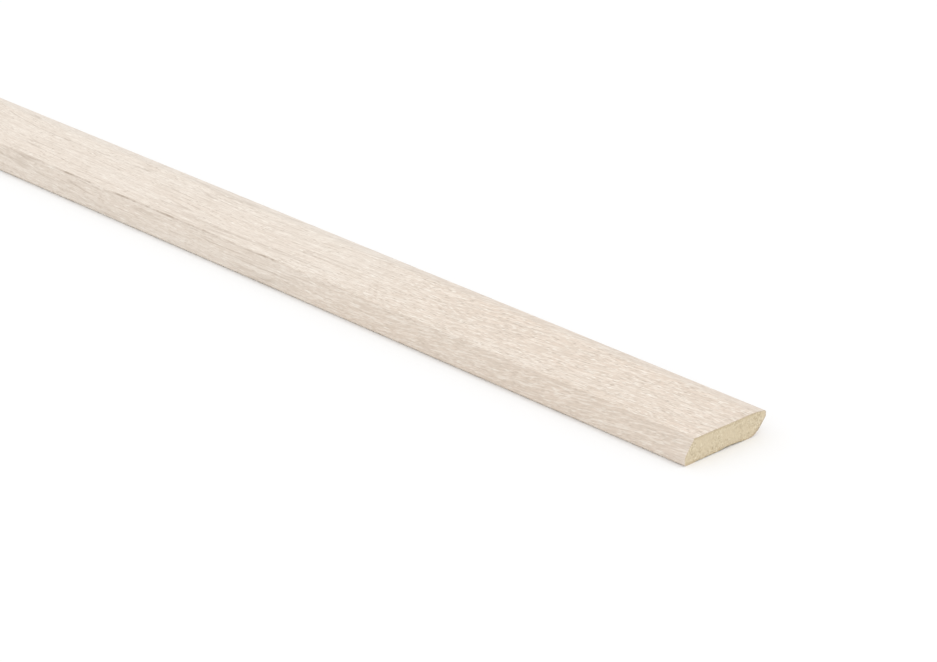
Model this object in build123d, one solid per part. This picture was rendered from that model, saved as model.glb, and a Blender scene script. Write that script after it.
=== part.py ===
from build123d import *

import os
from math import radians, sqrt, tan

# Stick-on skirting board: a slim strip of MDF with a bleached-oak decor film wrapped round it.
# All sizes are in millimetres. +X runs along the strip, +Y across its face from the bevelled
# top edge to the floor edge, and +Z out of the front face. The origin is the middle of the
# back, on the plane that the strip lies on.

# Stock
length = 2400.0
width = 22.0
thickness = 5.0
film_thickness = 0.15

# Bevelled top edge: a square edge at the back, rounded into a bevel that ends at a crease
square_edge = 1.8
bevel_run = 2.5
back_corner_radius = 0.6
bevel_foot_radius = 2.0
crease_radius = 0.4

# Floor edge: the face bends down in a long crown to an upright nose
crown_run = 4.0
crown_radius = 14.0
nose_radius = 0.5
nose_face = 1.12

# Undercut from the nose back to the heel, leaning away from the upright nose
undercut_angle = 40.7
undercut_radius = 0.6
heel_radius = 4.0

# Back: a shallow hollow for the glue, with a flat foot between it and the heel
hollow_width = 6.3
hollow_depth = 0.25
foot_width = 3.7

# How far the film laps onto the back, from the top edge and from the heel
top_lap = 3.0
floor_lap = 2.8

# Places that follow from the sizes above, measured from the top edge and from the back
crown_drop = crown_radius - sqrt(crown_radius**2 - crown_run**2)
nose_top = thickness - crown_drop
nose_foot = nose_top - nose_face
heel = width - nose_foot * tan(radians(undercut_angle))
hollow_centre = heel - foot_width - hollow_width / 2


def rounded(face, corner, radius):
    """Round the one corner of a section that lies at the given point."""
    vertex = face.vertices().sort_by_distance(corner)[0]
    return face.fillet_2d(radius, [vertex])


def outer_section():
    """The whole strip's section, film included."""
    edge_line = Polyline(
        (width, nose_top),
        (width, nose_foot),
        (heel, 0),
        (0, 0),
        (0, square_edge),
        (bevel_run, thickness),
        (width - crown_run, thickness),
    )
    crown = TangentArc((width - crown_run, thickness), (width, nose_top), tangent=(1, 0))
    section = make_face([*edge_line.edges(), crown])
    face = section.faces()[0]
    face = rounded(face, (0, 0), back_corner_radius)
    face = rounded(face, (0, square_edge), bevel_foot_radius)
    face = rounded(face, (bevel_run, thickness), crease_radius)
    face = rounded(face, (width, nose_top), nose_radius)
    face = rounded(face, (width, nose_foot), undercut_radius)
    return rounded(face, (heel, 0), heel_radius)


def core_blank(section):
    """The MDF's section before its back is hollowed: the outer one less the film all round."""
    return offset(section, -film_thickness)


def hollow():
    """The round cutter that leaves the shallow hollow in the MDF's back."""
    radius = (hollow_width**2 / 4 + hollow_depth**2) / (2 * hollow_depth)
    centre = film_thickness + hollow_depth - radius
    return Pos(hollow_centre, centre) * Circle(radius)


def bare_back():
    """The stretch of the back between the two laps, where there is no film."""
    bare_width = heel - floor_lap - top_lap
    corner = Pos(top_lap, 0)
    return corner * Rectangle(bare_width, film_thickness, align=(Align.MIN, Align.MIN))


def sawn_to_length(section):
    """Run a section along the strip, square at both ends and centred on the origin."""
    end_plane = Plane.YZ.offset(-length / 2)
    return extrude(end_plane * Pos(-width / 2, 0) * section, length)


def mdf_core(section):
    return sawn_to_length(core_blank(section) - hollow())


def decor_film(section):
    return sawn_to_length(section - core_blank(section) - bare_back())


outer = outer_section()
pieces = {
    "mdf_core": mdf_core(outer),
    "decor_film": decor_film(outer),
}

os.makedirs("parts", exist_ok=True)
for name, piece in pieces.items():
    piece.label = name
    export_step(piece, f"parts/{name}.step")
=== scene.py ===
from collections import namedtuple
from math import asin, atan2, cos, pi, radians, sin, sqrt, tan

import bpy
import numpy as np
from mathutils import Euler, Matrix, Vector
from mathutils.geometry import delaunay_2d_cdt


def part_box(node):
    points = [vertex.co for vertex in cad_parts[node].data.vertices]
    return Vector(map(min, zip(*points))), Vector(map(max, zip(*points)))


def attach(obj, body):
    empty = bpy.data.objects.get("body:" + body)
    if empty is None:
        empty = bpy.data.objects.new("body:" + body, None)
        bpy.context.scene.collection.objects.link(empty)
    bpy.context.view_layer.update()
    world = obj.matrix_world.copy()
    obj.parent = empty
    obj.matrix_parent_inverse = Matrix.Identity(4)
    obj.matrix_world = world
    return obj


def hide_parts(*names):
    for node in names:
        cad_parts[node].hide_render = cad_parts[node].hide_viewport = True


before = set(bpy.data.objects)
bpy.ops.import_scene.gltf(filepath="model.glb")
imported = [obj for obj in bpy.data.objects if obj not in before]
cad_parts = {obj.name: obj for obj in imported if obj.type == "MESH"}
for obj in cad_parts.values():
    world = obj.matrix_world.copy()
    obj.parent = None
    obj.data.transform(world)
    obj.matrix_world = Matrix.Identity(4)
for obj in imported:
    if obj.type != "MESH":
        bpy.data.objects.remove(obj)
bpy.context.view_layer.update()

bl_info = {
    "name": "Oak skirting strip",
    "version": (1, 0, 0),
    "blender": (4, 5, 0),
    "location": "3D View > Sidebar > Skirting",
    "description": "Builds a film-wrapped MDF skirting strip with a bleached-oak decor",
    "category": "Object",
}

# All sizes are in metres and in the CAD model's frame: +X runs along the strip, +Y across its face
# from the bevelled top edge to the floor edge, and +Z out of the front face.
MM = 0.001
FILM_LOW, FILM_HIGH = (Vector(corner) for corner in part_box("decor_film"))
CORE_LOW, CORE_HIGH = (Vector(corner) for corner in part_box("mdf_core"))
LENGTH, WIDTH, THICKNESS = (high - low for low, high in zip(FILM_LOW, FILM_HIGH))
FILM_THICKNESS = CORE_LOW.z - FILM_LOW.z

# Points closer together than this are one point
SAME_POINT = 0.001 * MM
# Edges that turn by more than this stay sharp
SHARP_ANGLE = radians(50)
# Fewest steps round a corner, and about how far it turns with each
CORNER_STEPS, CORNER_TURN = 3, radians(8)

# The map for baking has three bands: their lowest and highest places
HIDDEN_BAND = 0.002, 0.016
ENDS_BAND = 0.02, 0.12
SHOWN_BAND = 0.13, 1.0
# Where each sawn end starts in its band, and how wide it may be
FAR_END_START, NEAR_END_START, END_ROOM = 0.02, 0.52, 0.46
# Rows in the shown band, and the gap between them
SHOWN_ROWS, ROW_GAP = 8, 0.004

# The layer of noise that each pattern reads, so that no two patterns of a material fall together
DECOR_LAYERS = {
    "wander": 0.0,
    "wobble": 1.0,
    "ring": 2.0,
    "cloud": 5.0,
    "streak": 6.0,
    "ring_gap": 7.0,
    "fleck": 8.0,
    "fibre": 9.0,
    "short_pore": 10.0,
    "short_chalk": 11.0,
    "long_chalk": 12.0,
    "long_pore": 13.0,
    "patch": 14.0,
    "stretch": 25.0,
    "drift": 68.0,
    "crease_shade_stretch": 71.0,
    "ragged": 72.0,
}
BOARD_LAYERS = {"cloud": 1.0, "grit": 2.0, "dark": 3.0, "light": 4.0}
# How far apart the layers lie
LAYER_STEP = 7.3


def length_value(label, about, millimetres):
    """A length property in the scene's metres, with its default in millimetres."""
    return bpy.props.FloatProperty(
        name=label, description=about, default=millimetres * MM, unit="LENGTH", precision=5
    )


def size_value(label, about, *millimetres):
    """Two or three lengths that belong together, with their defaults in millimetres."""
    lengths = [length * MM for length in millimetres]
    return bpy.props.FloatVectorProperty(
        name=label, description=about, default=lengths, size=len(lengths), unit="LENGTH", precision=5
    )


def angle_value(label, about, degrees):
    return bpy.props.FloatProperty(name=label, description=about, default=radians(degrees), subtype="ANGLE")


def number_value(label, about, number):
    return bpy.props.FloatProperty(name=label, description=about, default=number, min=0.0)


def colour_value(label, about, rgb):
    return bpy.props.FloatVectorProperty(
        name=label, description=about, default=rgb, subtype="COLOR", size=3, min=0.0, max=1.0
    )


class SectionSizes(bpy.types.PropertyGroup):
    """The strip's section. Its length, width, thickness and film come from the frame."""

    square_edge: length_value("Square edge", "Height of the edge below the bevel", 1.8)
    bevel_run: length_value("Bevel run", "How far the bevel reaches across the face", 2.5)
    back_corner_radius: length_value("Back corner", "Rounding between the back and the top edge", 0.6)
    bevel_foot_radius: length_value("Bevel foot", "Rounding between the top edge and the bevel", 2.0)
    crease_radius: length_value("Crease", "Rounding between the bevel and the face", 0.4)
    crown_run: length_value("Crown run", "How far from the floor edge the face starts to bend", 4.0)
    crown_radius: length_value("Crown radius", "Radius of the bend towards the nose", 14.0)
    nose_radius: length_value("Nose", "Rounding at the top of the nose", 0.5)
    nose_face: length_value("Nose face", "Height of the upright nose between its corners", 1.12)
    undercut_angle: angle_value("Undercut angle", "How far the undercut leans from the upright nose", 40.7)
    undercut_radius: length_value("Undercut", "Rounding between the nose and the undercut", 0.6)
    heel_radius: length_value("Heel", "Rounding between the undercut and the back", 4.0)
    hollow_width: length_value("Hollow width", "Width of the shallow hollow in the back", 6.3)
    hollow_depth: length_value("Hollow depth", "Depth of the shallow hollow in the back", 0.25)
    foot_width: length_value("Foot", "Flat back between the hollow and the heel's corner", 3.7)
    top_lap: length_value("Top lap", "How far the film reaches onto the back at the top edge", 3.0)
    floor_lap: length_value("Floor lap", "How far the film reaches onto the back at the heel", 2.8)


class SawnEnds(bpy.types.PropertyGroup):
    """How the two sawn ends look, and how finely the pieces are divided."""

    spacing: length_value("Spacing", "Usual step round the section", 0.2)
    steps: bpy.props.IntProperty(
        name="Steps", description="Stretches that the strip is divided into", default=8, min=1
    )
    torn_depth: length_value("Torn depth", "How deep the saw tears the board's fibres", 0.16)
    torn_size: length_value("Torn size", "Size of a torn patch", 0.7)
    torn_level: number_value("Torn level", "Noise at which the board starts to be torn", 0.25)
    chip_depth: length_value("Chip depth", "How deep a chip in the film's sawn edge is", 0.22)
    chip_size: length_value("Chip size", "Size of a chip in the film's sawn edge", 1.1)
    chip_level: number_value("Chip level", "Noise at which the film starts to be chipped", 0.52)


class DecorPrint(bpy.types.PropertyGroup):
    """Colours of the print on the film, with painted shade over the crown and along the crease, and the
    length and width of what is drawn in it.
    """

    pale: colour_value("Pale wood", "Lightest ground of the print", (0.84, 0.76, 0.677))
    warm: colour_value("Warm wood", "Rosier ground of the print", (0.78, 0.656, 0.55))
    band: colour_value("Growth band", "Soft bands that run with the grain", (0.64, 0.55, 0.46))
    # Painted shade: a greyer, darker tone laid over the crown, where the face turns from the light
    crown_shade: colour_value("Dull wood", "Greyer tone of the print over the crown", (0.60, 0.55, 0.49))
    pore: colour_value("Pore", "Dark strokes and growth rings", (0.43, 0.345, 0.27))
    chalk: colour_value("Chalk", "Strokes filled with bleach", (0.96, 0.905, 0.82))
    glue: colour_value("Glue line", "Inner side of the film's cut edge", (0.52, 0.43, 0.29))
    drift: size_value("Drift", "Stretch over which the grain drifts aside, and how far", 400.0, 46.0)
    wander: size_value("Wander", "Stretch over which the grain wanders, and how far", 60.0, 1.6)
    wobble: size_value("Wobble", "Stretch over which its fibres wobble, and how far", 6.0, 0.3)
    stretch: size_value("Stretch", "Stretches of open and of close grain", 130.0, 80.0)
    cloud: size_value("Cloud", "Slow changes of tone", 70.0, 7.0)
    streak: size_value("Streak", "Soft bands along the grain", 9.0, 1.0)
    patch: size_value("Patch", "Patches with many strokes and with few", 13.0, 3.0)
    ring: size_value("Ring", "Bends of the growth rings", 120.0, 8.0)
    ring_gap: size_value("Ring gap", "Places where the growth rings fade", 16.0, 2.0)
    fleck: size_value("Fleck", "Soft pale and dark flecks", 3.2, 0.4)
    fibre: size_value("Fibre", "Fine pale and dark fibres", 1.1, 0.27)
    short_pore: size_value("Short pore", "Room of one dark pore", 1.7, 0.34)
    short_chalk: size_value("Short chalk", "Room of one pore filled with bleach", 1.8, 0.4)
    long_pore: size_value("Long pore", "Room of one dark streak in open grain", 5.5, 0.6)
    long_chalk: size_value("Long chalk", "Room of one bleached streak", 3.4, 0.5)
    # Stretches of the crease where the painted shade line shows
    crease_shade_stretch: size_value("Worn", "Worn stretches of the crease", 14.0, 8.0)
    ragged: size_value("Ragged", "Fine breaks in those stretches", 2.5, 1.5)


class BoardLook(bpy.types.PropertyGroup):
    """Colours of the sawn fibreboard, and the sizes of what shows in it."""

    fibre: colour_value("Fibre", "Middle of the board", (0.69, 0.59, 0.425))
    dense: colour_value("Dense skin", "Pressed layers near the faces", (0.55, 0.45, 0.29))
    dark: colour_value("Dark fleck", "Bark and dark fibres", (0.36, 0.27, 0.15))
    light: colour_value("Light fleck", "Pale fibres", (0.88, 0.80, 0.62))
    cloud_size: length_value("Cloud", "Slow changes of tone", 3.5)
    grit_size: length_value("Grit", "Fine speckle", 0.4)
    fleck_size: length_value("Fleck", "Room of one loose fibre", 0.8)


class StudioSettings(bpy.types.PropertyGroup):
    """Floor, light and camera."""

    floor_colour: colour_value("Floor", "The studio's plain floor", (0.93, 0.93, 0.93))
    floor_side: length_value("Floor side", "Side of the square floor", 80000.0)
    sky: number_value("Sky", "Strength of the white light from all sides", 0.95)
    key: number_value("Key light", "Strength of the soft light from above", 0.56)
    key_spread: angle_value("Key spread", "How wide the light from above looks from the strip", 40.0)
    key_side: bpy.props.FloatVectorProperty(
        name="Key side",
        description="Direction in which the light from above stands",
        default=(0.30, 0.45, 0.84),
        subtype="XYZ",
    )
    azimuth: angle_value("Azimuth", "Camera's turn about the upright", 46.6)
    elevation: angle_value("Elevation", "How far the camera looks down", 23.45)
    aim: size_value("Aim", "Point that the camera looks at", 1165.604, -32.415, 22.519)
    distance: length_value("Distance", "From the camera to the point it aims at", 604.0)
    sensor: number_value("Sensor", "Width of the camera's sensor in millimetres", 36.0)
    lens: number_value("Lens", "Focal length in millimetres", 127.6)
    nearest: length_value("Nearest", "Least distance that the camera sees", 10.0)
    furthest: length_value("Furthest", "Greatest distance that the camera sees", 200000.0)


# The strip's section, measured from its top edge and from its back


class Arc:
    """A rounded corner of the section: its centre, its radius and the angles of its outward normal."""

    def __init__(self, centre, radius, start, end):
        self.centre, self.radius, self.start, self.end = Vector(centre), radius, start, end

    def at(self, angle, inset):
        """The corner's point where the normal has this angle, inset from the section's outer side."""
        return self.centre + (self.radius - inset) * Vector((cos(angle), sin(angle)))

    def points(self, inset, spacing):
        """The corner's points from its start towards its end, without the end."""
        turn = self.start - self.end
        count = max(CORNER_STEPS, round(turn / CORNER_TURN), round(self.radius * turn / spacing))
        return [self.at(self.start - turn * i / count, inset) for i in range(count)]


def nose_foot(sizes):
    """How high above the back the upright nose ends."""
    crown_drop = sizes.crown_radius - sqrt(sizes.crown_radius**2 - sizes.crown_run**2)
    return THICKNESS - crown_drop - sizes.nose_face


def heel_place(sizes):
    """How far from the top edge the undercut would meet the back in a sharp corner."""
    return WIDTH - nose_foot(sizes) * tan(sizes.undercut_angle)


def section_arcs(sizes):
    """The section's rounded corners: from the back round the top edge, over the face and to the heel."""
    back, foot, crease = sizes.back_corner_radius, sizes.bevel_foot_radius, sizes.crease_radius
    crown, nose = sizes.crown_radius, sizes.nose_radius
    under, heel = sizes.undercut_radius, sizes.heel_radius
    # bevel, bend and undercut are angles of the outward normal, as an arc's start and end are.
    bevel = pi / 2 + atan2(THICKNESS - sizes.square_edge, sizes.bevel_run)
    undercut = -sizes.undercut_angle
    foot_height = sizes.square_edge - foot * tan((pi - bevel) / 2)
    crease_run = sizes.bevel_run + crease * tan((bevel - pi / 2) / 2)
    crown_centre = Vector((WIDTH - sizes.crown_run, THICKNESS - crown))
    nose_run = WIDTH - nose - crown_centre.x
    to_nose = Vector((nose_run, sqrt((crown - nose) ** 2 - nose_run**2)))
    bend = atan2(to_nose.y, to_nose.x)
    under_height = nose_foot(sizes) + under * tan(sizes.undercut_angle / 2)
    heel_run = heel_place(sizes) - heel * tan((pi / 2 + undercut) / 2)
    return [
        Arc((back, back), back, 3 * pi / 2, pi),
        Arc((foot, foot_height), foot, pi, bevel),
        Arc((crease_run, THICKNESS - crease), crease, bevel, pi / 2),
        Arc(crown_centre, crown, pi / 2, bend),
        Arc(crown_centre + to_nose, nose, bend, 0.0),
        Arc((WIDTH - under, under_height), under, 0.0, undercut),
        Arc((heel_run, heel), heel, undercut, -pi / 2),
    ]


def divided(start, end, spacing):
    """Points from the start towards the end, without the end, about a spacing apart."""
    count = max(1, round((end - start).length / spacing))
    return [start.lerp(end, i / count) for i in range(count)]


def bent_line(arcs, inset, spacing):
    """The line round all the corners, inset from the section's outer side.

    Lines with different insets have the same number of points, each opposite its neighbour.
    Where one corner follows another straight away, their shared point comes twice, to be merged later.
    """
    points = []
    for arc, after in zip(arcs, arcs[1:]):
        points += arc.points(inset, spacing)
        points += divided(arc.at(arc.end, inset), after.at(after.start, inset), spacing)
    last = arcs[-1]
    return points + last.points(inset, spacing) + [last.at(last.end, inset)]


def film_line(sizes, inset, spacing):
    """The film's line from the edge of one lap to the edge of the other, inset from its outer side."""
    bent = bent_line(section_arcs(sizes), inset, spacing)
    start = Vector((sizes.top_lap, inset))
    end = Vector((heel_place(sizes) - sizes.floor_lap, inset))
    return divided(start, bent[0], spacing) + bent[:-1] + divided(bent[-1], end, spacing) + [end]


def distances(points):
    """How far along the line each of its points is."""
    steps = [(b - a).length for a, b in zip(points, points[1:])]
    return np.concatenate([[0.0], np.cumsum(steps)])


def sheet_place(sizes, spacing, from_top):
    """How far round the sheet a point of the face is, measured from the sheet's lap at the top edge.

    from_top is the point's distance from the top edge.
    """
    outer = film_line(sizes, 0.0, spacing)
    point = Vector((from_top, THICKNESS))
    nearest = min(range(len(outer)), key=lambda i: (outer[i] - point).length)
    return distances(outer)[nearest]


def film_section(sizes, spacing):
    """The film's section as a thin ring of faces, with each point's place round the sheet and depth."""
    outer = film_line(sizes, 0.0, spacing)
    inner = film_line(sizes, FILM_THICKNESS, spacing)
    count = len(outer)
    # The line runs clockwise as seen from +X, so each face takes its corners the other way round.
    faces = [(i + 1, i, count + i, count + i + 1) for i in range(count - 1)]
    around = np.tile(distances(outer), 2)
    depth = np.repeat([0.0, 1.0], count)
    return section_mesh("film_section", outer + inner, faces, around=around, depth=depth)


def hollow_line(sizes, inset, spacing):
    """The round hollow in the core's back, from the heel's side to the top edge's."""
    radius = (sizes.hollow_width**2 / 4 + sizes.hollow_depth**2) / (2 * sizes.hollow_depth)
    middle = heel_place(sizes) - sizes.foot_width - sizes.hollow_width / 2
    centre = Vector((middle, inset + sizes.hollow_depth - radius))
    half = asin(sizes.hollow_width / 2 / radius)
    count = round(2 * half * radius / spacing)
    angles = np.linspace(pi / 2 - half, pi / 2 + half, count + 1)
    return [centre + radius * Vector((cos(a), sin(a))) for a in angles]


def core_section(sizes, spacing):
    """The board's section, with points all over its face so that the saw's marks have somewhere to be."""
    rim = bent_line(section_arcs(sizes), FILM_THICKNESS, spacing)
    hollow = hollow_line(sizes, FILM_THICKNESS, spacing)
    back = divided(rim[-1], hollow[0], spacing) + hollow[:-1] + divided(hollow[-1], rim[0], spacing)
    rim = rim[:-1] + back
    edges = [(i, (i + 1) % len(rim)) for i in range(len(rim))]
    spots = rim + points_inside(rim, spacing)
    triangles_inside = 1
    points, _, faces, *_ = delaunay_2d_cdt(spots, edges, [], triangles_inside, SAME_POINT)
    return section_mesh("core_section", points, [upright(points, face) for face in faces])


def upright(points, face):
    """The face's corners in the order that makes it look along +X."""
    a, b, c = (points[i] for i in face[:3])
    turn = (b - a).cross(c - b)
    return face if turn > 0 else face[::-1]


def points_inside(rim, spacing, scatter=0.3, clear=0.6, seed=7):
    """Points a spacing apart inside the rim, a little scattered and clear of it.

    How far they are scattered and how clear they stay are shares of the spacing.
    """
    draw = np.random.default_rng(seed)
    edge = np.array([tuple(point) for point in rim])
    across, up = (np.arange(low, high, spacing) for low, high in zip(edge.min(0), edge.max(0)))
    grid = np.stack(np.meshgrid(across, up), -1).reshape(-1, 2)
    grid += draw.uniform(-scatter, scatter, grid.shape) * spacing
    gaps = [np.linalg.norm(edge - point, axis=1).min() for point in grid]
    free = [point for point, gap in zip(grid, gaps) if gap > clear * spacing]
    return [Vector(point) for point in free if is_inside(edge, point)]


def is_inside(edge, point):
    """Whether a ray from the point along +Y crosses the closed edge an odd number of times."""
    after = np.roll(edge, -1, axis=0)
    crosses = (edge[:, 1] > point[1]) != (after[:, 1] > point[1])
    rise = np.where(crosses, after[:, 1] - edge[:, 1], 1.0)
    at = edge[:, 0] + (point[1] - edge[:, 1]) * (after[:, 0] - edge[:, 0]) / rise
    return np.count_nonzero(crosses & (at > point[0])) % 2 == 1


def section_mesh(name, points, faces, **values):
    """A flat mesh at the strip's far end from section points, with a value for each point where given."""
    mesh = bpy.data.meshes.new(name)
    corners = [(FILM_LOW.x, FILM_LOW.y + point.x, FILM_LOW.z + point.y) for point in points]
    mesh.from_pydata(corners, [], faces)
    for label, numbers in values.items():
        mesh.attributes.new(label, "FLOAT", "POINT").data.foreach_set("value", numbers)
    mesh.validate()
    return mesh


# Node trees


def new_tree(name, kind, sockets):
    """A node tree with its inputs and outputs, as (name, direction, type, default) each."""
    tree = bpy.data.node_groups.new(name, kind)
    for label, direction, socket_type, default in sockets:
        socket = tree.interface.new_socket(name=label, in_out=direction, socket_type=socket_type)
        if default is not None:
            socket.default_value = default
    entry, leave = tree.nodes.new("NodeGroupInput"), tree.nodes.new("NodeGroupOutput")
    return tree, entry.outputs, leave.inputs


def connect(tree, socket, value):
    """Gives an input a value or another node's output."""
    if isinstance(value, bpy.types.NodeSocket):
        tree.links.new(value, socket)
    else:
        socket.default_value = value


def add(tree, kind, inputs=(), **settings):
    """A new node with its settings. inputs maps a socket's name or number to a value or an output."""
    node = tree.nodes.new(kind)
    for label, value in settings.items():
        setattr(node, label, value)
    for key, value in dict(inputs).items():
        connect(tree, node.inputs[key], value)
    return node


def maths(tree, operation, *values, clamp=False):
    node = add(tree, "ShaderNodeMath", dict(enumerate(values)), operation=operation, use_clamp=clamp)
    return node.outputs[0]


def times(tree, product, *values):
    """The product of two or more values."""
    for value in values:
        product = maths(tree, "MULTIPLY", product, value)
    return product


def minus(tree, value, taken):
    return maths(tree, "SUBTRACT", value, taken)


def between(tree, mask, low, high):
    """The value that is low where the mask is 0 and high where it is 1."""
    return maths(tree, "MULTIPLY_ADD", mask, high - low, low)


def vector_maths(tree, operation, *values):
    node = add(tree, "ShaderNodeVectorMath", dict(enumerate(values)), operation=operation)
    return node.outputs[0]


def above(tree, value, start, end):
    """0 where the value is at the start and 1 where it is at the end, with a soft step between."""
    given = {"Value": value, "From Min": start, "From Max": end}
    return add(tree, "ShaderNodeMapRange", given, interpolation_type="SMOOTHSTEP").outputs[0]


# Geometry Nodes: a section run along the strip, with its ends torn by the saw


def more_than(tree, value, limit):
    return add(tree, "FunctionNodeCompare", {"A": value, "B": limit}, operation="GREATER_THAN").outputs[0]


def marked(tree, geometry, name, value, domain):
    """The geometry with a yes or no for each face or edge, kept under a name."""
    given = {"Geometry": geometry, "Name": name, "Value": value}
    stored = add(tree, "GeometryNodeStoreNamedAttribute", given, data_type="BOOLEAN", domain=domain)
    return stored.outputs[0]


def run_along_tree():
    """Pushes a section along the strip step by step, closes both ends and lets the saw tear them."""
    tree, given, made = new_tree(
        "Run a section along the strip",
        "GeometryNodeTree",
        [
            ("Geometry", "INPUT", "NodeSocketGeometry", None),
            ("Length", "INPUT", "NodeSocketFloat", 1.0),
            ("Steps", "INPUT", "NodeSocketInt", 8),
            ("Tear depth", "INPUT", "NodeSocketFloat", 0.0001),
            ("Tear size", "INPUT", "NodeSocketFloat", 0.001),
            ("Tear level", "INPUT", "NodeSocketFloat", 0.5),
            ("Material", "INPUT", "NodeSocketMaterial", None),
            ("Geometry", "OUTPUT", "NodeSocketGeometry", None),
        ],
    )
    far_end = add(tree, "GeometryNodeFlipFaces", {0: given["Geometry"]}).outputs[0]
    joined = add(tree, "GeometryNodeJoinGeometry")
    for part in (pushed_along(tree, given), far_end):
        tree.links.new(part, joined.inputs[0])
    closed = add(tree, "GeometryNodeMergeByDistance", {0: joined.outputs[0], "Distance": SAME_POINT})
    torn = torn_ends(tree, given, closed.outputs[0])
    smooth = add(tree, "GeometryNodeSetShadeSmooth", {"Geometry": torn}).outputs[0]
    angle = add(tree, "GeometryNodeInputMeshEdgeAngle").outputs["Unsigned Angle"]
    sharpened = marked(tree, smooth, "sharp_edge", more_than(tree, angle, SHARP_ANGLE), "EDGE")
    real = add(tree, "GeometryNodeRealizeInstances", {0: sharpened}).outputs[0]
    done = add(tree, "GeometryNodeSetMaterial", {"Geometry": real, "Material": given["Material"]})
    tree.links.new(done.outputs[0], made["Geometry"])
    return tree


def pushed_along(tree, given):
    """The section's walls and its near end, pushed out once for each step along the strip."""
    step = maths(tree, "DIVIDE", given["Length"], given["Steps"])
    push = add(tree, "ShaderNodeCombineXYZ", {"X": step}).outputs[0]
    start = tree.nodes.new("GeometryNodeRepeatInput")
    stop = tree.nodes.new("GeometryNodeRepeatOutput")
    start.pair_with_output(stop)
    connect(tree, start.inputs["Iterations"], given["Steps"])
    connect(tree, start.inputs["Geometry"], marked(tree, given["Geometry"], "leading", True, "FACE"))
    leading = add(tree, "GeometryNodeInputNamedAttribute", {"Name": "leading"}, data_type="BOOLEAN")
    pushed = add(
        tree,
        "GeometryNodeExtrudeMesh",
        {
            "Mesh": start.outputs["Geometry"],
            "Selection": leading.outputs["Attribute"],
            "Offset": push,
            "Offset Scale": 1.0,
            "Individual": False,
        },
        mode="FACES",
    )
    remarked = marked(tree, pushed.outputs["Mesh"], "leading", pushed.outputs["Top"], "FACE")
    connect(tree, stop.inputs["Geometry"], remarked)
    return stop.outputs["Geometry"]


def torn_ends(tree, given, geometry, end_share=0.4999, deepest_level=0.75):
    """The geometry with the points of both sawn ends moved inwards by a patchy amount.

    Points further than end_share of the length from the middle are at an end. The tear is
    deepest where the noise is at deepest_level.
    """
    place = add(tree, "GeometryNodeInputPosition").outputs[0]
    x = add(tree, "ShaderNodeSeparateXYZ", {0: place}).outputs["X"]
    at_end = more_than(tree, maths(tree, "ABSOLUTE", x), times(tree, given["Length"], end_share))
    per_size = maths(tree, "DIVIDE", 1.0, given["Tear size"])
    look = {"Vector": place, "Scale": per_size, "Detail": 2.0, "Roughness": 0.6}
    noise = add(tree, "ShaderNodeTexNoise", look, noise_dimensions="3D").outputs[0]
    patch = above(tree, noise, given["Tear level"], deepest_level)
    inwards = times(tree, maths(tree, "SIGN", x), -1.0)
    amount = times(tree, patch, given["Tear depth"])
    offset = add(tree, "ShaderNodeCombineXYZ", {"X": times(tree, amount, inwards)}).outputs[0]
    moved = add(
        tree, "GeometryNodeSetPosition", {"Geometry": geometry, "Selection": at_end, "Offset": offset}
    )
    return moved.outputs[0]


def set_inputs(modifier, values):
    """Sets a Geometry Nodes modifier's inputs by name, through each socket's identifier."""
    for item in modifier.node_group.interface.items_tree:
        if item.in_out == "INPUT" and item.name in values:
            modifier[item.identifier] = values[item.name]


def run_along(name, section, steps, tear, material):
    """The finished piece that the node tree makes of a section, as a plain mesh.

    tear is the depth of the saw's tears, their size and the noise at which they start.
    """
    tree = bpy.data.node_groups.get("Run a section along the strip") or run_along_tree()
    source = bpy.data.objects.new(name + "_section", section)
    bpy.context.collection.objects.link(source)
    modifier = source.modifiers.new("Run along", "NODES")
    modifier.node_group = tree
    tears = dict(zip(("Tear depth", "Tear size", "Tear level"), tear))
    set_inputs(modifier, {"Length": LENGTH, "Steps": steps, "Material": material, **tears})
    bpy.context.view_layer.update()
    evaluated = source.evaluated_get(bpy.context.evaluated_depsgraph_get())
    mesh = bpy.data.meshes.new_from_object(evaluated)
    bpy.data.objects.remove(source)
    if not mesh.polygons:
        raise RuntimeError(f"{name} came out empty")
    mesh.name = name
    mesh.materials.clear()
    mesh.materials.append(material)
    piece = bpy.data.objects.new(name, mesh)
    bpy.context.collection.objects.link(piece)
    return piece


# Maps on the pieces

Corners = namedtuple("Corners", "point place face normal")


def read(items, name, kind, width=1):
    """A value for each item of a mesh, or a row of as many values as the width says."""
    values = np.empty(len(items) * width, kind)
    items.foreach_get(name, values)
    return values.reshape(-1, width) if width > 1 else values


def face_corners(mesh):
    """For each face corner: its point's number and place, and its face's number and normal."""
    point = read(mesh.loops, "vertex_index", int)
    counts = read(mesh.polygons, "loop_total", int)
    face = np.repeat(np.arange(len(counts)), counts)
    place = read(mesh.vertices, "co", np.float32, 3)[point]
    return Corners(point, place, face, read(mesh.polygons, "normal", np.float32, 3)[face])


def face_mean(values, face):
    """Each corner's value replaced by the mean over its face."""
    return (np.bincount(face, values) / np.bincount(face))[face]


def write_map(mesh, name, u, v):
    """A UV map with a place for each face corner."""
    layer = mesh.uv_layers.new(name=name, do_init=False)
    layer.uv.foreach_set("vector", np.stack([u, v], 1).astype(np.float32).ravel())


def in_rows(along, across, face):
    """The shown surface laid out in rows, each a stretch of the strip. along and across run from 0 to 1."""
    low, high = SHOWN_BAND
    tall = (high - low) / SHOWN_ROWS
    row = np.clip(np.floor(face_mean(along, face) * SHOWN_ROWS), 0, SHOWN_ROWS - 1)
    u = ROW_GAP + (1 - 2 * ROW_GAP) * (along * SHOWN_ROWS - row)
    v = low + tall * row + ROW_GAP / 2 + (tall - ROW_GAP) * across
    return u, v


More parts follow.
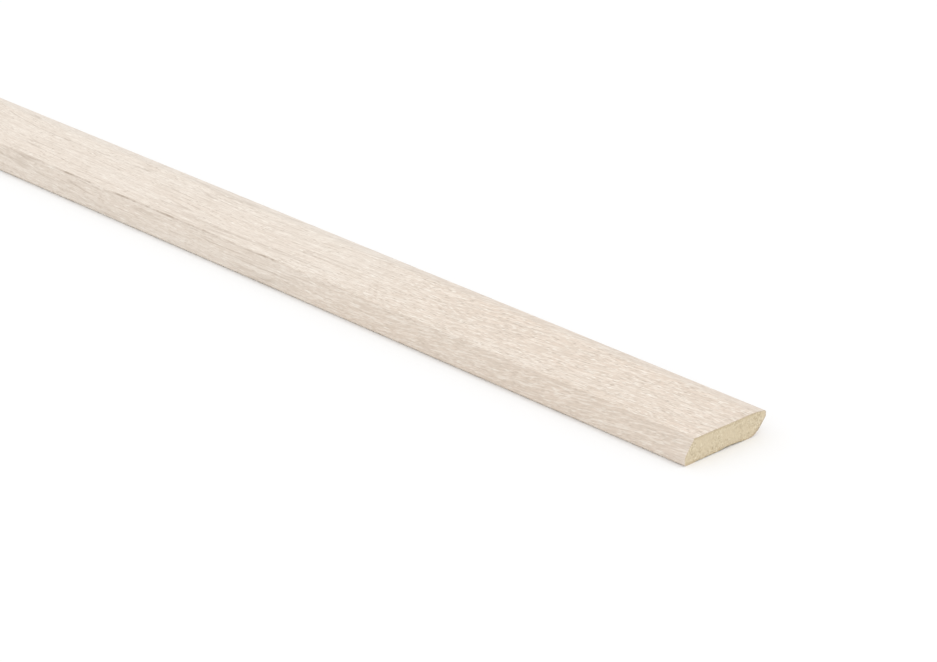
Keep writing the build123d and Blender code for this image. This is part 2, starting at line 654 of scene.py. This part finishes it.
def end_places(place):
    """Where the two sawn ends lie on the map for baking: side by side, in proportion."""
    low, high = ENDS_BAND
    scale = min(END_ROOM / WIDTH, (high - low) / THICKNESS)
    start = np.where(place[:, 0] > 0, NEAR_END_START, FAR_END_START)
    return start + (place[:, 1] - FILM_LOW.y) * scale, low + (place[:, 2] - FILM_LOW.z) * scale


def bake_map(mesh, corners, across, shown):
    """The map for baking: the shown surface in rows, both ends larger, and what is hidden in a slim band."""
    low, high = HIDDEN_BAND
    at_end = np.abs(corners.normal[:, 0]) > 0.5
    hidden = ~shown & ~at_end
    along = (corners.place[:, 0] - FILM_LOW.x) / LENGTH
    u, v = in_rows(along, across, corners.face)
    u = np.where(hidden, along, u)
    v = np.where(hidden, low + (high - low) * np.clip(across, 0, 1), v)
    end_u, end_v = end_places(corners.place)
    write_map(mesh, "OFBake", np.where(at_end, end_u, u), np.where(at_end, end_v, v))


def map_film(mesh):
    """The film's own sheet, laid flat in metres, and the map for baking with its inner side hidden."""
    corners = face_corners(mesh)
    around = read(mesh.attributes["around"].data, "value", np.float32)[corners.point]
    depth = read(mesh.attributes["depth"].data, "value", np.float32)[corners.point]
    write_map(mesh, "sheet", corners.place[:, 0], around)
    outer_side = face_mean(depth, corners.face) < 0.25
    bake_map(mesh, corners, around / around.max(), outer_side)


def map_core(mesh):
    """The board's map for baking, with its bare back shown and the rest of its sides hidden."""
    corners = face_corners(mesh)
    across = (corners.place[:, 1] - CORE_LOW.y) / (CORE_HIGH.y - CORE_LOW.y)
    looks_back = corners.normal[:, 2] < -0.7
    bake_map(mesh, corners, across, looks_back)


# Shared effects


def placed(tree, given):
    """A shared effect's coordinate: divided by its size, and moved to another layer by its seed."""
    scaled = vector_maths(tree, "DIVIDE", given["Vector"], given["Size"])
    layer = add(tree, "ShaderNodeCombineXYZ", {"Z": times(tree, given["Seed"], LAYER_STEP)})
    return vector_maths(tree, "ADD", scaled, layer.outputs[0])


def mottle_group():
    """Soft patches of any size and stretch, from 0 to 1 about a middle of a half."""
    tree, given, made = new_tree(
        "Mottle",
        "ShaderNodeTree",
        [
            ("Vector", "INPUT", "NodeSocketVector", None),
            ("Size", "INPUT", "NodeSocketVector", (1.0, 1.0, 1.0)),
            ("Seed", "INPUT", "NodeSocketFloat", 0.0),
            ("Detail", "INPUT", "NodeSocketFloat", 2.0),
            ("Contrast", "INPUT", "NodeSocketFloat", 1.0),
            ("Mask", "OUTPUT", "NodeSocketFloat", None),
        ],
    )
    look = {"Vector": placed(tree, given), "Scale": 1.0, "Detail": given["Detail"], "Roughness": 0.55}
    noise = add(tree, "ShaderNodeTexNoise", look).outputs[0]
    spread = times(tree, minus(tree, noise, 0.5), given["Contrast"])
    tree.links.new(maths(tree, "ADD", spread, 0.5, clamp=True), made["Mask"])
    return tree


def strokes_group(solid=0.15, fray_scale=2.5, rise=8.0, faintest=0.3):
    """Short separate strokes, such as pores or loose fibres, each with its own strength.

    A stroke is solid round its middle and fades out towards its reach. Each one has a lot from
    0 to 1. It shows where its lot is below the share, in full from 1 / rise below it.
    """
    tree, given, made = new_tree(
        "Short strokes",
        "ShaderNodeTree",
        [
            ("Vector", "INPUT", "NodeSocketVector", None),
            ("Size", "INPUT", "NodeSocketVector", (1.0, 1.0, 1.0)),
            ("Seed", "INPUT", "NodeSocketFloat", 0.0),
            ("Share", "INPUT", "NodeSocketFloat", 0.5),
            ("Ragged", "INPUT", "NodeSocketFloat", 0.5),
            ("Reach", "INPUT", "NodeSocketFloat", 0.45),
            ("Mask", "OUTPUT", "NodeSocketFloat", None),
        ],
    )
    place = placed(tree, given)
    fray = add(tree, "ShaderNodeTexNoise", {"Vector": place, "Scale": fray_scale, "Detail": 2.0})
    centred = vector_maths(tree, "SUBTRACT", fray.outputs["Color"], (0.5, 0.5, 0.5))
    ragged = add(tree, "ShaderNodeVectorMath", {0: centred, "Scale": given["Ragged"]}, operation="SCALE")
    moved = vector_maths(tree, "ADD", place, ragged.outputs[0])
    cells = add(tree, "ShaderNodeTexVoronoi", {"Vector": moved, "Scale": 1.0, "Randomness": 1.0})
    near = above(tree, cells.outputs["Distance"], given["Reach"], solid)
    lots = add(tree, "ShaderNodeSeparateColor", {0: cells.outputs["Color"]}).outputs
    shown = maths(tree, "MULTIPLY", minus(tree, given["Share"], lots["Red"]), rise, clamp=True)
    strength = between(tree, lots["Green"], faintest, 1.0)
    tree.links.new(times(tree, near, shown, strength), made["Mask"])
    return tree


def effect(tree, name, builder, inputs):
    """The output of a shared effect, which is built the first time that it is asked for."""
    group = bpy.data.node_groups.get(name) or builder()
    return add(tree, "ShaderNodeGroup", inputs, node_tree=group).outputs[0]


def mottle(tree, vector, size, seed, detail=2.0, contrast=3.0):
    given = {"Vector": vector, "Size": size, "Seed": seed, "Detail": detail, "Contrast": contrast}
    return effect(tree, "Mottle", mottle_group, given)


def strokes(tree, vector, size, seed, share):
    given = {"Vector": vector, "Size": size, "Seed": seed, "Share": share}
    return effect(tree, "Short strokes", strokes_group, given)


# Materials


def new_material(name):
    """An empty material, its tree and its shader."""
    material = bpy.data.materials.new(name)
    material.use_nodes = True
    tree = material.node_tree
    tree.nodes.clear()
    shader = tree.nodes.new("ShaderNodeBsdfPrincipled")
    output = tree.nodes.new("ShaderNodeOutputMaterial")
    tree.links.new(shader.outputs[0], output.inputs["Surface"])
    return material, tree, shader


def finish(tree, shader, values):
    """Gives the shader's named inputs their values or outputs."""
    for label, value in values.items():
        connect(tree, shader.inputs[label], value)


def bump(tree, strength, deep, height):
    """A relief of the given depth in metres."""
    given = {"Strength": strength, "Distance": deep, "Height": height}
    return add(tree, "ShaderNodeBump", given).outputs[0]


def tinted(tree, under, over, mask, strength):
    """A colour laid over another where the mask says, at most as strongly as the strength."""
    below = under if isinstance(under, bpy.types.NodeSocket) else (*under, 1.0)
    given = {"Factor": times(tree, mask, strength), "A": below, "B": (*over, 1.0)}
    node = tree.nodes.new("ShaderNodeMix")
    node.data_type = "RGBA"
    sockets = {socket.name: socket for socket in node.inputs if socket.enabled}
    for label, value in given.items():
        connect(tree, sockets[label], value)
    return next(socket for socket in node.outputs if socket.enabled)


def coated(tree, colour, coats):
    """A ground colour with coats over it, the first one lowest, as (colour, mask, strength) each."""
    for over, mask, strength in coats:
        colour = tinted(tree, colour, over, mask, strength)
    return colour


def decor_patches(tree, place, look, name, **values):
    """Soft patches of the print, with the size and the layer of noise that go with their name."""
    return mottle(tree, place, (*getattr(look, name), 1.0), DECOR_LAYERS[name], **values)


def decor_strokes(tree, place, look, name, share):
    """Strokes of the print, with the size and the layer of noise that go with their name."""
    return strokes(tree, place, (*getattr(look, name), 1.0), DECOR_LAYERS[name], share)


def grain_direction(tree, sheet, look):
    """The sheet's coordinate along and across the grain, which drifts, wanders and wobbles aside.

    Each bend of the grain is three times as long as it is wide.
    """
    across = 0.0
    for name in ("drift", "wander", "wobble"):
        long, wide = getattr(look, name)
        bend = mottle(tree, sheet, (long, long / 3, 1.0), DECOR_LAYERS[name], detail=1.0, contrast=1.0)
        across = maths(tree, "MULTIPLY_ADD", minus(tree, bend, 0.5), 2 * wide, across)
    return vector_maths(tree, "ADD", sheet, add(tree, "ShaderNodeCombineXYZ", {"Y": across}).outputs[0])


def growth_rings(tree, grain, look, count=9.0, width=0.16):
    """Thin broken lines that follow the levels of a long soft noise, as growth rings do on a sawn face.

    count is how many levels there are, and width how far a line reaches towards the next one.
    """
    levels = decor_patches(tree, grain, look, "ring", detail=1.0, contrast=1.0)
    away = maths(tree, "PINGPONG", times(tree, levels, count), 0.5)
    gaps = decor_patches(tree, grain, look, "ring_gap", contrast=5.0)
    return times(tree, above(tree, away, width, 0.0), gaps)


def painted_crease_shade(tree, sheet, look, from_crease, faint=0.35 * MM, full=0.1 * MM):
    """A broken line of painted shade where the film is folded over the crease.

    It is strongest up to the distance full from the crease, and gone at the distance faint.
    """
    line = above(tree, maths(tree, "ABSOLUTE", from_crease), faint, full)
    crease_shade_stretch = decor_patches(tree, sheet, look, "crease_shade_stretch", contrast=8.0)
    ragged = decor_patches(tree, sheet, look, "ragged", contrast=5.0)
    return times(tree, line, crease_shade_stretch, between(tree, ragged, 0.3, 1.0))


def ground_coats(tree, grain, look, close, opened, firm):
    """Slow changes of tone, soft bands along the grain and, where the grain is open, growth rings."""
    cloud = decor_patches(tree, grain, look, "cloud")
    tone = maths(tree, "MULTIPLY_ADD", cloud, 0.35, times(tree, close, 0.65))
    streak = decor_patches(tree, grain, look, "streak", contrast=3.6)
    streak = maths(tree, "MULTIPLY_ADD", minus(tree, streak, 0.5), firm, 0.5)
    streaks = times(tree, streak, between(tree, opened, 0.5, 0.35))
    rings = times(tree, growth_rings(tree, grain, look), opened)
    return [
        (look.warm, tone, 1.0),
        (look.band, streaks, 1.0),
        (look.pore, rings, 0.5),
    ]


def fleck_coats(tree, grain, look, fibre, close):
    """Flecks and fibres, from fine noise that is pale at one end of its range and dark at the other."""
    fleck = decor_patches(tree, grain, look, "fleck", contrast=3.4)
    busy = between(tree, close, 0.5, 1.0)
    return [
        (look.band, times(tree, above(tree, fleck, 0.5, 0.0), busy), 0.45),
        (look.band, above(tree, fibre, 0.6, 0.0), 0.5),
        (look.chalk, times(tree, above(tree, fleck, 0.5, 1.0), busy), 0.4),
    ]


def stroke_coats(tree, grain, look, pore, share, opened, firm):
    """Pores, dark where they are open and chalky where bleach has filled them."""
    chalk = times(tree, decor_strokes(tree, grain, look, "short_chalk", share), firm)
    long_chalk = decor_strokes(tree, grain, look, "long_chalk", between(tree, opened, 0.2, 0.6))
    long_pore = decor_strokes(tree, grain, look, "long_pore", times(tree, opened, 0.35))
    return [
        (look.chalk, long_chalk, 0.7),
        (look.pore, long_pore, 0.4),
        (look.chalk, chalk, 1.0),
        (look.pore, pore, 0.8),
    ]


def film_material(look, crease, crown):
    """The bleached-oak print on its satin film, with painted shade over the crown and along the crease.
    crease and crown are where the sheet is bent.
    """
    material, tree, shader = new_material("Bleached oak film")
    sheet = add(tree, "ShaderNodeUVMap", uv_map="sheet").outputs[0]
    grain = grain_direction(tree, sheet, look)
    around = add(tree, "ShaderNodeSeparateXYZ", {0: sheet}).outputs["Y"]
    depth = add(tree, "ShaderNodeAttribute", attribute_name="depth").outputs["Fac"]

    # The print is stretched over the bevel and the crown, and so a little weaker there than on the face.
    from_crease = minus(tree, around, crease)
    past_crease = above(tree, from_crease, -0.5 * MM, 0.5 * MM)
    over_crown = above(tree, minus(tree, around, crown), 0.0, 1.8 * MM)
    firm = times(tree, between(tree, past_crease, 0.5, 1.0), between(tree, over_crown, 1.0, 0.6))

    # Some stretches have open grain with long streaks, and others close grain with many short strokes.
    close = decor_patches(tree, sheet, look, "stretch", detail=1.0, contrast=8.0)
    opened = minus(tree, 1.0, close)
    patch = between(tree, decor_patches(tree, grain, look, "patch", contrast=5.0), 0.45, 1.55)
    share = times(tree, between(tree, close, 0.28, 0.88), patch)
    pore = times(tree, decor_strokes(tree, grain, look, "short_pore", share), firm)
    fibre = decor_patches(tree, grain, look, "fibre", contrast=3.4)
    coats = [
        *ground_coats(tree, grain, look, close, opened, firm),
        *fleck_coats(tree, grain, look, fibre, close),
        *stroke_coats(tree, grain, look, pore, share, opened, firm),
        # Painted shade: a broken dark line in the pore colour along the crease
        (look.pore, times(tree, painted_crease_shade(tree, sheet, look, from_crease), opened), 0.9),
        # Painted shade over the crown, darkening the print towards the nose
        (look.crown_shade, over_crown, 0.24),
        (look.glue, above(tree, depth, 0.2, 1.0), 0.7),
    ]
    relief = minus(tree, times(tree, fibre, 0.35), pore)
    values = {
        "Base Color": coated(tree, look.pale, coats),
        "Roughness": maths(tree, "MULTIPLY_ADD", pore, 0.15, between(tree, fibre, 0.42, 0.54)),
        "Specular IOR Level": 0.35,
        "Normal": bump(tree, 0.5, 0.015 * MM, relief),
    }
    finish(tree, shader, values)
    return material


def cube(size):
    return size, size, size


def core_material(look):
    """Fibreboard, denser and darker near its faces, with pale and dark fibres that the saw leaves rough."""
    material, tree, shader = new_material("Sawn fibreboard")
    place = add(tree, "ShaderNodeTexCoord").outputs["Object"]
    apart = add(tree, "ShaderNodeSeparateXYZ", {0: place}).outputs
    to_end = minus(tree, CORE_HIGH.x, maths(tree, "ABSOLUTE", apart["X"]))
    sawn = above(tree, to_end, 1.0 * MM, 0.5 * MM)
    middle, half = (CORE_LOW.z + CORE_HIGH.z) / 2, (CORE_HIGH.z - CORE_LOW.z) / 2
    from_middle = maths(tree, "ABSOLUTE", minus(tree, apart["Z"], middle))
    near_face = above(tree, from_middle, 0.7 * half, half)

    cloud = mottle(tree, place, cube(look.cloud_size), BOARD_LAYERS["cloud"], contrast=4.0)
    grit = mottle(tree, place, cube(look.grit_size), BOARD_LAYERS["grit"], contrast=4.0)
    rough = times(tree, between(tree, sawn, 0.4, 1.0), above(tree, cloud, -0.5, 1.0))
    pale_grit = times(tree, above(tree, grit, 0.5, 1.0), rough)
    dark_grit = times(tree, above(tree, grit, 0.5, 0.0), rough)
    share = between(tree, cloud, 0.1, 0.5)
    dark = strokes(tree, place, cube(look.fleck_size), BOARD_LAYERS["dark"], share)
    light = strokes(tree, place, cube(look.fleck_size), BOARD_LAYERS["light"], share)

    coats = [
        (look.dense, near_face, 0.6),
        (look.dense, cloud, 0.15),
        (look.light, pale_grit, 0.45),
        (look.dark, dark_grit, 0.27),
        (look.light, light, 0.6),
        (look.dark, dark, 0.45),
    ]
    loose = maths(tree, "ADD", grit, minus(tree, light, dark))
    values = {
        "Base Color": coated(tree, look.fibre, coats),
        "Roughness": between(tree, sawn, 0.75, 0.9),
        "Specular IOR Level": 0.2,
        "Normal": bump(tree, 0.7, 0.06 * MM, times(tree, loose, rough)),
    }
    finish(tree, shader, values)
    return material


def floor_material(colour):
    material, tree, shader = new_material("Studio floor")
    finish(tree, shader, {"Base Color": (*colour, 1.0), "Roughness": 0.9, "Specular IOR Level": 0.1})
    return material


# Operators


class SKIRTING_OT_film(bpy.types.Operator):
    """Wraps the printed film round the strip, from one lap on its back to the other"""

    bl_idname = "skirting.film"
    bl_label = "Decor film"

    def execute(self, context):
        scene = context.scene
        sizes, ends = scene.skirting_sizes, scene.skirting_ends
        crease = sheet_place(sizes, ends.spacing, sizes.bevel_run)
        crown = sheet_place(sizes, ends.spacing, WIDTH - sizes.crown_run)
        section = film_section(sizes, ends.spacing)
        chips = ends.chip_depth, ends.chip_size, ends.chip_level
        printed = film_material(scene.skirting_decor, crease, crown)
        piece = run_along("oak_film", section, ends.steps, chips, printed)
        map_film(piece.data)
        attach(piece, "root")
        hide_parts("decor_film")
        return {"FINISHED"}


class SKIRTING_OT_core(bpy.types.Operator):
    """Makes the fibreboard strip inside the film, with its hollow back and sawn ends"""

    bl_idname = "skirting.core"
    bl_label = "Fibreboard core"

    def execute(self, context):
        scene = context.scene
        ends = scene.skirting_ends
        section = core_section(scene.skirting_sizes, ends.spacing)
        tears = ends.torn_depth, ends.torn_size, ends.torn_level
        board = core_material(scene.skirting_board)
        piece = run_along("fibreboard_strip", section, ends.steps, tears, board)
        map_core(piece.data)
        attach(piece, "root")
        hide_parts("mdf_core")
        return {"FINISHED"}


class SKIRTING_OT_stage(bpy.types.Operator):
    """Lays the floor, sets the soft light and places the camera"""

    bl_idname = "skirting.stage"
    bl_label = "Stage"

    def execute(self, context):
        studio = context.scene.skirting_studio
        self.lay_floor(studio)
        self.light(context.scene, studio)
        self.place_camera(context.scene, studio)
        return {"FINISHED"}

    def lay_floor(self, studio):
        half = studio.floor_side / 2
        mesh = bpy.data.meshes.new("studio_floor")
        corners = [(-half, -half, 0), (half, -half, 0), (half, half, 0), (-half, half, 0)]
        mesh.from_pydata(corners, [], [(0, 1, 2, 3)])
        mesh.materials.append(floor_material(studio.floor_colour))
        floor = bpy.data.objects.new("studio_floor", mesh)
        bpy.context.collection.objects.link(floor)

    def light(self, scene, studio):
        world = bpy.data.worlds.new("Studio")
        world.use_nodes = True
        scene.world = world
        background = world.node_tree.nodes["Background"]
        background.inputs["Color"].default_value = (1.0, 1.0, 1.0, 1.0)
        background.inputs["Strength"].default_value = studio.sky
        lamp = bpy.data.lights.new("key_light", "SUN")
        lamp.energy = studio.key
        lamp.angle = studio.key_spread
        key = bpy.data.objects.new("key_light", lamp)
        key.rotation_euler = Vector(studio.key_side).to_track_quat("Z", "Y").to_euler()
        bpy.context.collection.objects.link(key)
        scene.view_settings.view_transform = "Standard"

    def place_camera(self, scene, studio):
        data = bpy.data.cameras.new("camera")
        data.sensor_width = studio.sensor
        data.lens = studio.lens
        data.clip_start, data.clip_end = studio.nearest, studio.furthest
        camera = bpy.data.objects.new("camera", data)
        turn = Euler((pi / 2 - studio.elevation, 0.0, studio.azimuth))
        backwards = turn.to_matrix() @ Vector((0.0, 0.0, 1.0))
        camera.rotation_euler = turn
        camera.location = Vector(studio.aim) + studio.distance * backwards
        bpy.context.collection.objects.link(camera)
        scene.camera = camera


class SKIRTING_PT_panel(bpy.types.Panel):
    """Lists the strip's pieces and their sizes"""

    bl_label = "Skirting strip"
    bl_idname = "SKIRTING_PT_panel"
    bl_space_type = "VIEW_3D"
    bl_region_type = "UI"
    bl_category = "Skirting"

    def draw(self, context):
        for kind in (SKIRTING_OT_core, SKIRTING_OT_film, SKIRTING_OT_stage):
            self.layout.operator(kind.bl_idname)
        for name, group in GROUPS.items():
            box = self.layout.box()
            for label in group.__annotations__:
                box.prop(getattr(context.scene, name), label)


GROUPS = {
    "skirting_sizes": SectionSizes,
    "skirting_ends": SawnEnds,
    "skirting_decor": DecorPrint,
    "skirting_board": BoardLook,
    "skirting_studio": StudioSettings,
}
CLASSES = (*GROUPS.values(), SKIRTING_OT_film, SKIRTING_OT_core, SKIRTING_OT_stage, SKIRTING_PT_panel)


def register():
    for kind in CLASSES:
        bpy.utils.register_class(kind)
    for name, group in GROUPS.items():
        setattr(bpy.types.Scene, name, bpy.props.PointerProperty(type=group))


def unregister():
    for name in GROUPS:
        delattr(bpy.types.Scene, name)
    for kind in reversed(CLASSES):
        bpy.utils.unregister_class(kind)


def main():
    register()
    bpy.ops.skirting.core()
    bpy.ops.skirting.film()
    bpy.ops.skirting.stage()


if __name__ == "__main__":
    main()
